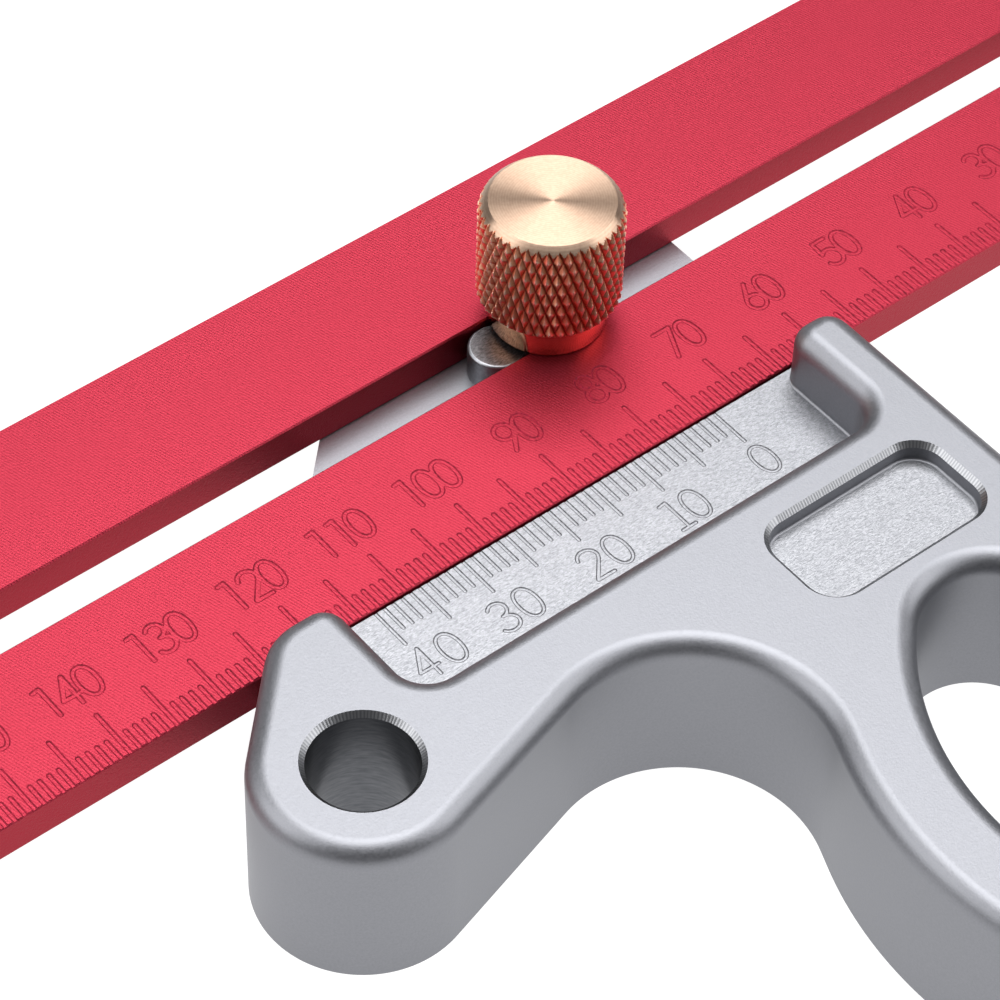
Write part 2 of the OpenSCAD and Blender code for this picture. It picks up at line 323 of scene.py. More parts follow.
waveScale = 0.314  # scale of a wave texture whose bands are a metre apart
noiseSpan = (0.3, 0.7)  # where most values of a noise lie


# Anodised aluminium, fly-cut and dyed red: a satin colour that glows pink under the light,
# with a fine grain and slanted cutter lines. The sides are as drawn: the same dye without the lines.
def redAnodised(name, dark, light, lineShare):
    material, tree, shader, place = newMaterial(name)
    slanted = addNode(tree, "ShaderNodeMapping", {}, {"Vector": place, "Rotation": (0, 0, math.radians(-15.4))})
    lines = addNode(tree, "ShaderNodeTexWave", {"wave_type": "BANDS", "bands_direction": "X"}, {
        "Vector": slanted.outputs[0], "Scale": waveScale / (0.29 * mm), "Distortion": 2.5, "Detail": 1,
        "Detail Scale": 0.3})
    grain = addNode(tree, "ShaderNodeTexNoise", {}, {
        "Vector": place, "Scale": 1 / (0.18 * mm), "Detail": 3, "Roughness": 0.6}).outputs["Fac"]
    height = addNode(tree, "ShaderNodeMix", {"data_type": "FLOAT"}, {
        "Factor": lineShare, "A": grain, "B": lines.outputs["Fac"]}).outputs["Result"]
    bump = addNode(tree, "ShaderNodeBump", {}, {"Strength": 0.75, "Distance": 0.05 * mm, "Height": height})
    tint = addNode(tree, "ShaderNodeValToRGB", {}, {"Fac": height}, tuple(zip(noiseSpan, (dark, light))))
    rough = addNode(tree, "ShaderNodeMapRange", {}, {
        "Value": grain, "From Min": noiseSpan[0], "From Max": noiseSpan[1], "To Min": 0.38, "To Max": 0.52})
    feed(tree, shader, {"Base Color": tint.outputs["Color"], "Roughness": rough.outputs["Result"],
                        "Normal": bump.outputs["Normal"], "Metallic": 1})
    return material


# Anodised aluminium, chamfered by a small cutter: bright, with the cutter's chatter across the edge
def chamferedSilver(name):
    material, tree, shader, place = newMaterial(name)
    along = addNode(tree, "ShaderNodeAttribute", {"attribute_name": "along"})
    run = addNode(tree, "ShaderNodeCombineXYZ", {}, {"X": along.outputs["Fac"]})
    chatter = addNode(tree, "ShaderNodeTexWave", {"wave_type": "BANDS", "bands_direction": "X"}, {
        "Vector": run.outputs[0], "Scale": waveScale / (0.30 * mm), "Distortion": 4, "Detail": 2,
        "Detail Scale": 0.6}).outputs["Fac"]
    bump = addNode(tree, "ShaderNodeBump", {}, {"Strength": 0.15, "Distance": 0.05 * mm, "Height": chatter})
    tint = addNode(tree, "ShaderNodeValToRGB", {}, {"Fac": chatter}, ((0, "85868a"), (1, "a8a9ac")))
    feed(tree, shader, {"Base Color": tint.outputs["Color"], "Normal": bump.outputs["Normal"],
                        "Metallic": 1, "Roughness": 0.34})
    return material


# Brass as turned on a lathe: pale gold, with rings that draw the highlight into a fan
def turnedBrass(name):
    material, tree, shader, place = newMaterial(name)
    radial = addNode(tree, "ShaderNodeVectorMath", {"operation": "MULTIPLY"}, {0: place, 1: (1, 1, 0)})
    rings = addNode(tree, "ShaderNodeTexWave", {"wave_type": "RINGS", "rings_direction": "Z"}, {
        "Vector": place, "Scale": waveScale / (0.25 * mm), "Distortion": 0.6, "Detail": 1,
        "Detail Scale": 0.3}).outputs["Fac"]  # tool feed of 0.25 mm, coarser than the real one to show
    grain = addNode(tree, "ShaderNodeTexNoise", {}, {"Vector": place, "Scale": 1 / (0.3 * mm), "Detail": 2})
    bump = addNode(tree, "ShaderNodeBump", {}, {"Strength": 0.05, "Distance": 0.03 * mm, "Height": rings})
    mixed = addNode(tree, "ShaderNodeMix", {"data_type": "FLOAT"}, {
        "Factor": 0.75, "A": rings, "B": grain.outputs["Fac"]})
    tint = addNode(tree, "ShaderNodeValToRGB", {}, {"Fac": mixed.outputs["Result"]},
                   ((0.3, "b29580"), (0.7, "bfa38d")))
    feed(tree, shader, {"Base Color": tint.outputs["Color"], "Normal": bump.outputs["Normal"],
                        "Tangent": radial.outputs["Vector"], "Metallic": 1, "Roughness": 0.32, "Anisotropic": 0.93})
    return material


# Brass with a knurl rolled into it: no rings, so each flank shines its own way. The grooves are darkened brown
# with painted shade and the points made pale with a painted highlight, which goes by the distance from the axis in
# mm.
def knurledBrass(name, groove, point):
    material, tree, shader, place = newMaterial(name)
    level = addNode(tree, "ShaderNodeVectorMath", {"operation": "MULTIPLY"}, {0: place, 1: (1, 1, 0)})
    reach = addNode(tree, "ShaderNodeVectorMath", {"operation": "LENGTH"}, {0: level.outputs["Vector"]})
    grain = addNode(tree, "ShaderNodeTexNoise", {}, {"Vector": place, "Scale": 1 / (0.25 * mm), "Detail": 2})
    depthShadeAndGlint = addNode(tree, "ShaderNodeMapRange", {}, {
        "Value": reach.outputs["Value"], "From Min": groove * mm, "From Max": point * mm})
    mixed = addNode(tree, "ShaderNodeMix", {"data_type": "FLOAT"}, {
        "Factor": 0.25, "A": depthShadeAndGlint.outputs["Result"], "B": grain.outputs["Fac"]})
    # painted shade in the grooves and a painted highlight on the points, with a quarter of random grain mixed in
    tint = addNode(tree, "ShaderNodeValToRGB", {}, {"Fac": mixed.outputs["Result"]},
                   ((0.1, "ac6549"), (0.6, "eeaa84"), (0.85, "ffe2c6")))
    feed(tree, shader, {"Base Color": tint.outputs["Color"], "Metallic": 1, "Roughness": 0.3})
    return material


# The other finishes have a grain that shades their colour and, where it is deep enough, roughens them.
# Grain and depth of bump are in mm, and a drawn grain is longer along the axis with the smaller number.
def grained(name, f):
    material, tree, shader, place = newMaterial(name)
    if "drawn" in f:
        place = addNode(tree, "ShaderNodeMapping", {}, {
            "Vector": place, "Rotation": (0, 0, math.radians(f.get("turned", 0))), "Scale": f["drawn"]}).outputs[0]
    grain = addNode(tree, "ShaderNodeTexNoise", {}, {
        "Vector": place, "Scale": 1 / (f["grain"] * mm), "Detail": f["detail"],
        "Roughness": f["harshness"]}).outputs["Fac"]
    tint = addNode(tree, "ShaderNodeValToRGB", {}, {"Fac": grain}, f["colours"])
    feed(tree, shader, {"Base Color": tint.outputs["Color"], **f["shader"]})
    if "bump" in f:
        strength, depth = f["bump"]
        bump = addNode(tree, "ShaderNodeBump", {}, {"Strength": strength, "Distance": depth * mm, "Height": grain})
        feed(tree, shader, {"Normal": bump.outputs["Normal"]})
    if "rough" in f:
        low, high = f["rough"]
        rough = addNode(tree, "ShaderNodeMapRange", {}, {
            "Value": grain, "From Min": noiseSpan[0], "From Max": noiseSpan[1], "To Min": low, "To Max": high})
        feed(tree, shader, {"Roughness": rough.outputs["Result"]})
    return material


red = redAnodised("red anodised aluminium, fly-cut", "8e2635", "aa3847", 0.2)
redSide = redAnodised("red anodised aluminium, drawn", "971f2d", "a32838", 0.0)
# Bead-blasted: even silver grey with a fine sparkle and no direction
blasted = grained("silver anodised aluminium, bead-blasted", {
    "grain": 0.22, "detail": 3, "harshness": 0.65, "bump": (0.22, 0.06), "rough": (0.42, 0.54),
    "colours": ((0.3, "84858a"), (0.7, "919297")), "shader": {"Metallic": 1}})
# As milled: livelier than the blasted faces, with short cutter scratches along the pass
milled = grained("silver anodised aluminium, milled", {
    "grain": 0.13, "detail": 3, "harshness": 0.6, "drawn": (0.4, 1, 1), "bump": (0.65, 0.05),
    "colours": ((0.3, "7a7b7f"), (0.7, "9fa0a4")), "shader": {"Metallic": 1, "Roughness": 0.42}})
chamfered = chamferedSilver("silver anodised aluminium, chamfered")
# Bored: smoother than the blasted faces, with faint rings round the hole, and darker as painted shade inside the hole
boredAndShaded = grained("silver anodised aluminium, bored", {
    "grain": 0.25, "detail": 3, "harshness": 0.5, "drawn": (0.2, 0.2, 1), "bump": (0.15, 0.05),
    "colours": ((0.3, "585a5e"), (0.7, "6b6c70")), "shader": {"Metallic": 1, "Roughness": 0.28}})
# Painted shade on the sloping walls of the engraving: a dull dark line along both sides of each stroke
grooveShade = {"grain": 0.3, "detail": 2, "harshness": 0.5, "shader": {"Roughness": 0.7, "Specular IOR Level": 0.15}}
grooveShadeRed = grained("red anodised aluminium, painted-groove-shade", {
    **grooveShade, "colours": ((0.35, "6c0f21"), (0.65, "961a31"))})
grooveShadeSilver = grained("silver anodised aluminium, painted-groove-shade", {
    **grooveShade, "colours": ((0.35, "48484b"), (0.65, "6c6c70"))})
brassTurned = turnedBrass("brass, lathe-turned")
brassKnurled = knurledBrass("brass, knurled", 6.6, 7.0)
# Turned and polished: a warm mirror for the red ruler beside it
brassPolished = grained("brass, polished", {
    "grain": 0.4, "detail": 2, "harshness": 0.5,
    "colours": ((0.3, "f6b086"), (0.7, "ffc49a")), "shader": {"Metallic": 1, "Roughness": 0.12}})
# Tumbled: dull grey with a coarse grain
steel = grained("steel, tumbled", {
    "grain": 0.35, "detail": 4, "harshness": 0.7, "bump": (0.3, 0.06),
    "colours": ((0.3, "8a8b90"), (0.7, "a8a9ad")), "shader": {"Metallic": 1, "Roughness": 0.38}})
# As cut off by the saw: darker than the tumbled sides, with short scratches that catch the light
sawn = grained("steel, sawn", {
    "grain": 0.2, "detail": 4, "harshness": 0.7, "drawn": (0.4, 1, 1), "turned": 35, "bump": (0.5, 0.06),
    "colours": ((0.35, "454344"), (0.7, "858386")), "shader": {"Metallic": 1, "Roughness": 0.42}})
print("materials made")


# Engraved figures: each is a few strokes on a field 1 wide and 1 high, and a stroke has round ends
def arc(x, y, rx, ry, start, end, steps=14):
    turns = [math.radians(start + (end - start) * i / steps) for i in range(steps + 1)]
    return [(x + rx * math.cos(t), y + ry * math.sin(t)) for t in turns]


def oval(x, y, rx, ry, fullness=1.0, steps=28):
    points = []
    for i in range(steps):
        t = 2 * math.pi * i / steps
        c, s = math.cos(t), math.sin(t)
        points.append((x + rx * math.copysign(abs(c) ** fullness, c), y + ry * math.copysign(abs(s) ** fullness, s)))
    return points + [points[0]]


figures = {
    "0": [oval(0.5, 0.5, 0.5, 0.5, 0.9)],
    "1": [[(0.12, 0.97), (0.5, 1.0)], [(0.5, 1.0), (0.5, 0.0)]],
    "2": [arc(0.5, 0.74, 0.5, 0.26, 170, -12) + [(0.9, 0.58), (0.06, 0.02)], [(0.06, 0.0), (1.0, 0.0)]],
    "3": [arc(0.46, 0.76, 0.44, 0.24, 150, -90), arc(0.46, 0.26, 0.52, 0.26, 90, -150)],
    "4": [[(0.72, 1.0), (0.0, 0.3)], [(0.0, 0.3), (1.0, 0.3)], [(0.72, 1.0), (0.72, 0.0)]],
    "5": [[(0.9, 1.0), (0.14, 1.0)], [(0.14, 1.0), (0.06, 0.56)], arc(0.46, 0.31, 0.52, 0.31, 140, -150)],
    "6": [oval(0.5, 0.28, 0.5, 0.28), [(0.08, 0.44), (0.74, 1.0)]],
    "7": [[(0.0, 1.0), (1.0, 1.0)], [(1.0, 1.0), (0.12, 0.0)]],
    "8": [oval(0.5, 0.76, 0.4, 0.24), oval(0.5, 0.26, 0.5, 0.26)],
    "9": [oval(0.5, 0.72, 0.5, 0.28), [(0.92, 0.56), (0.26, 0.0)]],
    "foot": [[(0.12, 0.0), (0.88, 0.0)]],
}


# Outline of a stroke with round ends, or the outer and inner line of a closed one
def strokeLoops(path, half, capSteps=8):
    closed = path[0] == path[-1]
    points = [Vector(p) for p in (path[:-1] if closed else path)]
    count = len(points)

    def heading(i):
        back = points[i - 1] if closed or i > 0 else points[i]
        ahead = points[(i + 1) % count] if closed or i < count - 1 else points[i]
        return (ahead - back).normalized()

    sides = [[], []]
    for i in range(count):
        along = heading(i)
        aside = Vector((along.y, -along.x)) * half
        sides[0].append(points[i] + aside)
        sides[1].append(points[i] - aside)
    if closed:
        return sides
    caps = []
    for i, way in ((count - 1, 1), (0, -1)):
        along = heading(i) * way
        aside = Vector((along.y, -along.x))
        caps.append([points[i] + (aside * math.cos(t) + along * math.sin(t)) * half
                     for t in [math.pi * k / capSteps for k in range(1, capSteps)]])
    return [sides[0] + caps[0] + sides[1][::-1] + caps[1]]


def figureCutter(name, marks, style, groove, z):  # marks are (text, middles of its figures, foot y)
    loops, strokes = [], []
    for text, middles, foot in marks:
        for c, middle in zip(text, middles):
            for stroke in figures[c] + (figures["foot"] if c == "1" and style["foot"] else []):
                path = [(middle + style["width"] * (x - 0.5), foot + style["height"] * y) for x, y in stroke]
                outline = strokeLoops(path, groove["width"] / 2)
                strokes.append(range(len(loops), len(loops) + len(outline)))
                loops += outline
    verts, triangles, owners = filled(loops)
    cut = [t for t, owner in zip(triangles, owners)  # inside a stroke, but not in the eye of a closed one
           if any(sum(i in owner for i in stroke) == 1 for stroke in strokes)]
    edges = {(t[i], t[i - 2]) for t in cut for i in range(3)}
    border = [(a, b) for a, b in edges if (b, a) not in edges]
    inward = {}
    for a, b in border:
        along = (verts[b] - verts[a]).normalized()
        for i in (a, b):
            inward.setdefault(i, []).append(Vector((-along.y, along.x)))
    floor = list(verts)
    for i, ways in inward.items():
        way = sum(ways, Vector((0, 0)))
        mitre = min(2 / way.length_squared, 1)  # held back at sharp corners
        floor[i] = verts[i] + way * mitre * (groove["width"] - groove["floor"]) / 2
    levels = ((verts, z + groove["over"]), (verts, z), (floor, z - groove["depth"]))
    solid = [(p.x * mm, p.y * mm, h * mm) for level, h in levels for p in level]
    size = len(verts)
    shapes = [tuple(t) for t in cut] + [tuple(i + 2 * size for i in reversed(t)) for t in cut]
    shapes += [(b + k, a + k, a + k + size, b + k + size) for a, b in border for k in (0, size)]
    mesh = bpy.data.meshes.new(name)
    mesh.from_pydata(solid, [], shapes)
    work = bmesh.new()
    work.from_mesh(mesh)
    bmesh.ops.delete(work, geom=[v for v in work.verts if not v.link_faces], context="VERTS")
    work.to_mesh(mesh)
    work.free()
    return newObject(name, mesh)


def newTree(name, inputs):  # Geometry Nodes tree with named inputs of each kind
    tree = bpy.data.node_groups.new(name, "GeometryNodeTree")
    tree.interface.new_socket("Geometry", in_out="OUTPUT", socket_type="NodeSocketGeometry")
    for kind, names in inputs.items():
        for n in names:
            tree.interface.new_socket(n, in_out="INPUT", socket_type="NodeSocket" + kind)
    return tree, addNode(tree, "NodeGroupInput").outputs


def endTree(tree, shape, material):
    real = addNode(tree, "GeometryNodeRealizeInstances", {}, {0: shape}).outputs[0]
    painted = addNode(tree, "GeometryNodeSetMaterial", {}, {"Geometry": real, "Material": material}).outputs[0]
    addNode(tree, "NodeGroupOutput", {}, {0: painted})


def grown(name, tree, values):  # plain mesh object of a Geometry Nodes tree with these inputs
    obj = newObject(name, bpy.data.meshes.new(name))
    made = obj.modifiers.new(name, "NODES")
    made.node_group = tree
    for item in tree.interface.items_tree:
        if item.in_out == "INPUT" and item.name in values:
            made[item.identifier] = values[item.name]
    obj.data = evaluated(obj)
    return obj


# Geometry Nodes tree for a row of scale marks, of which every fifth is long. A mark is the hull of six rings.
def markTree(longEvery=5, ringPoints=10):
    tree, given = newTree("scaleMarks", {
        "Int": ["Count"], "Vector": ["Start"], "Material": ["Material"],
        "Float": ["Pitch", "Short", "Long", "Run", "Width", "Floor", "Depth", "Over"]})
    halfWidth, halfFloor, drop = [
        addNode(tree, "ShaderNodeMath", {"operation": "MULTIPLY"}, {0: given[n], 1: share}).outputs[0]
        for n, share in (("Width", 0.5), ("Floor", 0.5), ("Depth", -1))]
    step = addNode(tree, "ShaderNodeCombineXYZ", {}, {"X": given["Pitch"]}).outputs[0]
    line = addNode(tree, "GeometryNodeMeshLine", {}, {
        "Count": given["Count"], "Start Location": given["Start"], "Offset": step}).outputs[0]
    index = addNode(tree, "GeometryNodeInputIndex").outputs[0]
    left = addNode(tree, "ShaderNodeMath", {"operation": "MODULO"}, {0: index, 1: longEvery}).outputs[0]
    others = addNode(tree, "FunctionNodeCompare", {"operation": "GREATER_THAN"}, {0: left, 1: 0.5}).outputs[0]
    fifths = addNode(tree, "FunctionNodeBooleanMath", {"operation": "NOT"}, {0: others}).outputs[0]
    both = addNode(tree, "GeometryNodeJoinGeometry")
    for length, chosen in ((given["Short"], others), (given["Long"], fifths)):
        join = addNode(tree, "GeometryNodeJoinGeometry")
        for radius, height in ((halfWidth, given["Over"]), (halfWidth, 0), (halfFloor, drop)):
            for reach in (length, given["Run"]):
                circle = addNode(tree, "GeometryNodeMeshCircle", {}, {"Vertices": ringPoints, "Radius": radius})
                place = addNode(tree, "ShaderNodeCombineXYZ", {}, {"Y": reach, "Z": height})
                moved = addNode(tree, "GeometryNodeTransform", {}, {
                    "Geometry": circle.outputs[0], "Translation": place.outputs[0]})
                tree.links.new(moved.outputs[0], join.inputs[0])
        hull = addNode(tree, "GeometryNodeConvexHull", {}, {0: join.outputs[0]})
        marks = addNode(tree, "GeometryNodeInstanceOnPoints", {}, {
            "Points": line, "Selection": chosen, "Instance": hull.outputs[0]})
        tree.links.new(marks.outputs[0], both.inputs[0])
    endTree(tree, both.outputs[0], given["Material"])
    return tree


marksTree = markTree()


def engrave(obj, s, z, wallRise=0.97, slack=0.01):  # a face whose normal rises less is a wall, slack is in mm
    groove = s["groove"]
    sizes = {"Start": Vector((s["zero"], 0, z)), "Pitch": s["pitch"], "Short": s["short"], "Long": s["long"],
             "Run": s["run"], "Width": groove["width"], "Floor": groove["floor"], "Depth": groove["depth"],
             "Over": groove["over"]}
    marks = grown("marks", marksTree, {"Count": s["count"], "Material": obj.data.materials[0],
                                       **{name: size * mm for name, size in sizes.items()}})
    carve(obj, marks)
    numbers = []
    for n in s["numbers"]:
        tick = s["zero"] + s["pitch"] * n
        numbers.append((str(n), [tick + m for m in s["middles"](str(n))], s["foot"] + s["drop"].get(n, 0)))
    carve(obj, figureCutter("figures", numbers, s["figures"], groove, z))
    mesh = obj.data
    # the walls of the grooves take the painted groove shade
    wall = mesh.materials.find(s["wall"].name)
    for face in mesh.polygons:
        lowest = min(mesh.vertices[i].co.z for i in face.vertices)
        if abs(face.normal.z) < wallRise and lowest > (z - groove["depth"] - slack) * mm:
            face.material_index = wall


# Ruler: a slotted bar with broken edges, numbered from its right end in unfilled engraving
rulerShape = {
    "corners": [(76.4, 17.7, 1.5), (-120.6, 17.7, 1.5), (-120.6, -17.7, 1.5), (76.4, -17.7, 1.5)],
    "slot": [(64.9, 0, 3), (-109.1, 0, 3)],
    "low": 7.02, "high": 11.0, "chamfer": 0.15,  # runs a hair above the floor
    "sideRise": 0.5, "sharp": 22,  # a face whose normal rises less is a side
}
rulerMarks = {
    "count": 199, "zero": 77.9, "pitch": -1.0, "short": -16.85, "long": -13.9, "run": -19.8,
    "groove": {"width": 0.56, "floor": 0.26, "depth": 0.07, "over": 0.3}, "wall": grooveShadeRed,
    "figures": {"width": 1.87, "height": 3.55, "foot": False},
    "foot": -12.0, "drop": {}, "numbers": range(10, 200, 10),
    "middles": lambda text: (-0.9, 1.2) if len(text) == 2 else (
        -2.4, {"1": -0.23, "2": -0.35}.get(text[1], -0.45), 1.63),
}


def makeRuler(s):
    shell = newShell()
    low, high, c = s["low"], s["high"], s["chamfer"]
    edges = [(belt(s["corners"]), 1), (belt(s["slot"]), -1)]
    for samples, side in edges:
        addBand(shell, samples, side, (c, low), (0, low + c), -45, red)
        addBand(shell, samples, side, (0, low + c), (0, high - c), 0, red)
        addBand(shell, samples, side, (0, high - c), (c, high), 45, red)
    loops = [loopOf(samples, side, c) for samples, side in edges]
    addFlat(shell, loops, low, -1, red)
    addFlat(shell, loops, high, 1, red)
    piece = shellObject("ruler_engraved", shell, [red, grooveShadeRed, redSide], False)
    engrave(piece, rulerMarks, high)
    mesh = piece.data
    work = bmesh.new()
    work.from_mesh(mesh)
    bmesh.ops.triangulate(work, faces=work.faces)
    bmesh.ops.remove_doubles(work, verts=work.verts, dist=mergeGap)  # the cuts leave edges too short to matter
    bmesh.ops.dissolve_degenerate(work, edges=work.edges, dist=sliverGap)
    work.to_mesh(mesh)
    work.free()
    for face in mesh.polygons:
        if abs(face.normal.z) < s["sideRise"]:
            face.material_index = mesh.materials.find(redSide.name)
    smooth(mesh, s["sharp"])
    return piece


ruler = makeRuler(rulerShape)
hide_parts("ruler")
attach(ruler, "ruler")
print("ruler engraved", len(ruler.data.polygons))

# Stock: one outline for the high part, one for the floor under the ruler and one for the finger opening
stockShape = {
    "high": [(-49.6, -35.8, 10.1), (-27.4887, -53.2416, -12.7), (18.5, -74.2, 37.8), (12.5, -105.4696, 6.0),
             (16.1, -21.75, 2.4), (15.0, -21.75, 2.4), (9.4, -29.15, -3.2), (-37.6, -29.15, -3.2),
             (-43.2, -21.75, 2.4), (-44.948, -25.35, 6.0)],  # lug, thumb, loop, foot, horn, window, horn
    "grounded": 4, "fenceHorn": 4, "window": (5, 6, 7, 8), "mitreHorn": 9,  # how many corners, and which
    "floorCorners": [(16.5, 17.2, 2.0), (-8.0551, 17.2, 2.0)],
    "opening": [(3.7, -90.3964, 7.2), (3.7, -58.0036, 7.2), (18.5, -74.2, 29.1)],
    "recess": [(10.3, -44.15, 3), (10.3, -39.95, 3), (-3.5, -39.95, 3), (-3.5, -44.15, 3)],
    "arcLevels": "bbbbfppppf", "lineLevels": "bbbbfpppfb",  # what each corner and the line after it stand on
    "level": {"b": 0.0, "f": 7.0, "p": 10.6}, "top": 17.0,  # base, floor and platform
    "roll": 2.04, "rollSteps": 10, "fillet": 0.25, "recessFloor": 15.0, "chamfer": 0.5,
    "hole": (-49.6, -35.8, 5.0), "bore": (0, 0, 2.55), "boreSteps": 48, "boreFloor": 1.6,
}
platformMarks = {
    "count": 41, "zero": 4.35, "pitch": -1.0, "short": -22.18, "long": -23.75, "run": -18.9,
    "groove": {"width": 0.42, "floor": 0.20, "depth": 0.06, "over": 0.2}, "wall": grooveShadeSilver,
    "figures": {"width": 2.03, "height": 3.55, "foot": True},
    "foot": -28.31, "drop": {10: -0.3, 20: -0.2, 30: -0.1}, "numbers": range(0, 50, 10),
    "middles": {"0": [0], "10": [-0.93, 1.25], "20": [-0.75, 2.04], "30": [-1.07, 1.68], "40": [0, 2.95]}.get,
}


def makePlatform(loop, s):  # block with the short scale, in steel where a side is hidden and is dropped again
    low, high = s["level"]["f"], s["level"]["p"]
    count = len(loop)
    points = [(p.x * mm, p.y * mm, z * mm) for z in (low, high) for p in loop]
    sides = [(i, (i + 1) % count, (i + 1) % count + count, i + count) for i in range(count)]
    mesh = bpy.data.meshes.new("platform")
    mesh.from_pydata(points, [], [list(range(count, 2 * count)), list(range(count - 1, -1, -1))] + sides)
    top, front, hidden = 0, 1, 2
    mesh.polygons.foreach_set("material_index", [top, hidden] + [hidden] * (count - 1) + [front])
    block = newObject("platform", mesh, [milled, blasted, steel, grooveShadeSilver])
    engrave(block, platformMarks, high)
    return block


def makeStock(s):
    shell = newShell()
    level, top, roll, fillet, c = s["level"], s["top"], s["roll"], s["fillet"], s["chamfer"]
    rolls = [90 * k / s["rollSteps"] for k in range(s["rollSteps"] + 1)]
    quarter = (0, 30, 60, 90)

    def footOf(sample):  # the fillet at the window's foot fades out where the horns meet the channel
        p, n, run, corner = sample
        return fillet * (1 - n.y) if corner in (s["window"][0], s["window"][-1]) else fillet

    high = belt(s["high"])
    addRound(shell, high, 1, roll, top, rolls, blasted)
    pairs = list(zip(high, high[1:]))
    kinds = [s["arcLevels"][a[3]] if a[3] == b[3] else s["lineLevels"][a[3]] for a, b in pairs]
    feet = [[level[k] + (footOf(q) if k == "p" else 0) for q in pair] for k, pair in zip(kinds, pairs)]
    for i, (kind, pair) in enumerate(zip(kinds, pairs)):
        before, after = feet[i - 1][1], feet[(i + 1) % len(feet)][0]
        (a, b), (lowA, lowB) = pair, feet[i]
        corners = [(a, lowA), (b, lowB), (b, max(lowB, after)),  # with a corner where a neighbour's foot is higher
                   (b, top - roll), (a, top - roll), (a, max(lowA, before))]
        addFace(shell, [(Vector((*q[0], z)), Vector((*q[1], 0)), 0) for q, z in corners], blasted)
        if kind == "p":
            rows = []
            for t in quarter:
                out, rise = math.cos(math.radians(t)), math.sin(math.radians(t))
                rows.append([(Vector((*(q[0] + q[1] * footOf(q) * (1 - out)), level[kind] + footOf(q) * (1 - rise))),
                              Vector((*(q[1] * out), rise)), 0) for q in pair])
            addStrip(shell, rows, blasted)

    shelf = [q[0] + q[1] * footOf(q) for q in high[:-1] if q[3] in s["window"]]
    block = makePlatform(shelf, s)
    for face in block.data.polygons:
        finish = block.data.materials[face.material_index]
        if finish != steel:
            corners = [(block.data.vertices[i].co / mm, face.normal.copy(), 0) for i in face.vertices]
            addFace(shell, corners, finish)
    bpy.data.objects.remove(block)

    rear = [q for q in belt(s["high"][:s["grounded"]] + s["floorCorners"])[:-1] if q[3] >= s["grounded"]]
    fenceHorn, mitreHorn = ([q for q in high[:-1] if q[3] == s[k]] for k in ("fenceHorn", "mitreHorn"))
    outside = [fenceHorn[0]] + rear + [mitreHorn[-1]]
    addBand(shell, outside, 1, (0, level["b"]), (0, level["f"]), 0, blasted)
    bore = ring(*s["bore"], s["boreSteps"])
    inside = [q[0] for q in outside + mitreHorn[-2::-1]] + [shelf[-1], shelf[0]] + [q[0] for q in fenceHorn[:0:-1]]
    addFlat(shell, [inside, loopOf(bore)], level["f"], 1, blasted)
    addBand(shell, bore, -1, (0, s["boreFloor"]), (0, level["f"]), 0, blasted)
    addFlat(shell, [loopOf(bore)], s["boreFloor"], 1, blasted)

    opening = belt(s["opening"])
    addRound(shell, opening, -1, roll, top, rolls, blasted)
    addBand(shell, opening, -1, (0, level["b"]), (0, top - roll), 0, blasted)

    hole = ring(*s["hole"])
    # the hole's wall is darkened with painted shade
    addBand(shell, hole, -1, (0, c), (0, top - c), 0, boredAndShaded)
    addBand(shell, hole, -1, (c, 0), (0, c), -45, chamfered)
    addBand(shell, hole, -1, (0, top - c), (c, top), 45, chamfered)

    recess = belt(s["recess"])
    deep = s["recessFloor"]
    addBand(shell, recess, -1, (0, top - c), (c, top), 45, chamfered)
    addBand(shell, recess, -1, (0, deep + fillet), (0, top - c), 0, blasted)
    addRound(shell, recess, -1, -fillet, deep, quarter, blasted)
    addFlat(shell, [loopOf(recess, -1, -fillet)], deep, 1, milled)

    holes = [loopOf(opening, -1, roll), loopOf(hole, -1, c), loopOf(recess, -1, c)]
    addFlat(shell, [loopOf(high, 1, roll)] + holes, top, 1, blasted)
    base = [q[0] for q in high[:-1] if q[3] < s["grounded"]] + [q[0] for q in outside]
    addFlat(shell, [base, loopOf(opening), loopOf(hole, -1, c)], level["b"], -1, blasted)
    return shellObject("stock_engraved", shell, [blasted, milled, chamfered, grooveShadeSilver, boredAndShaded])


stock = makeStock(stockShape)
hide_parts("stock")
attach(stock, "stock")
print("stock engraved", len(stock.data.polygons))


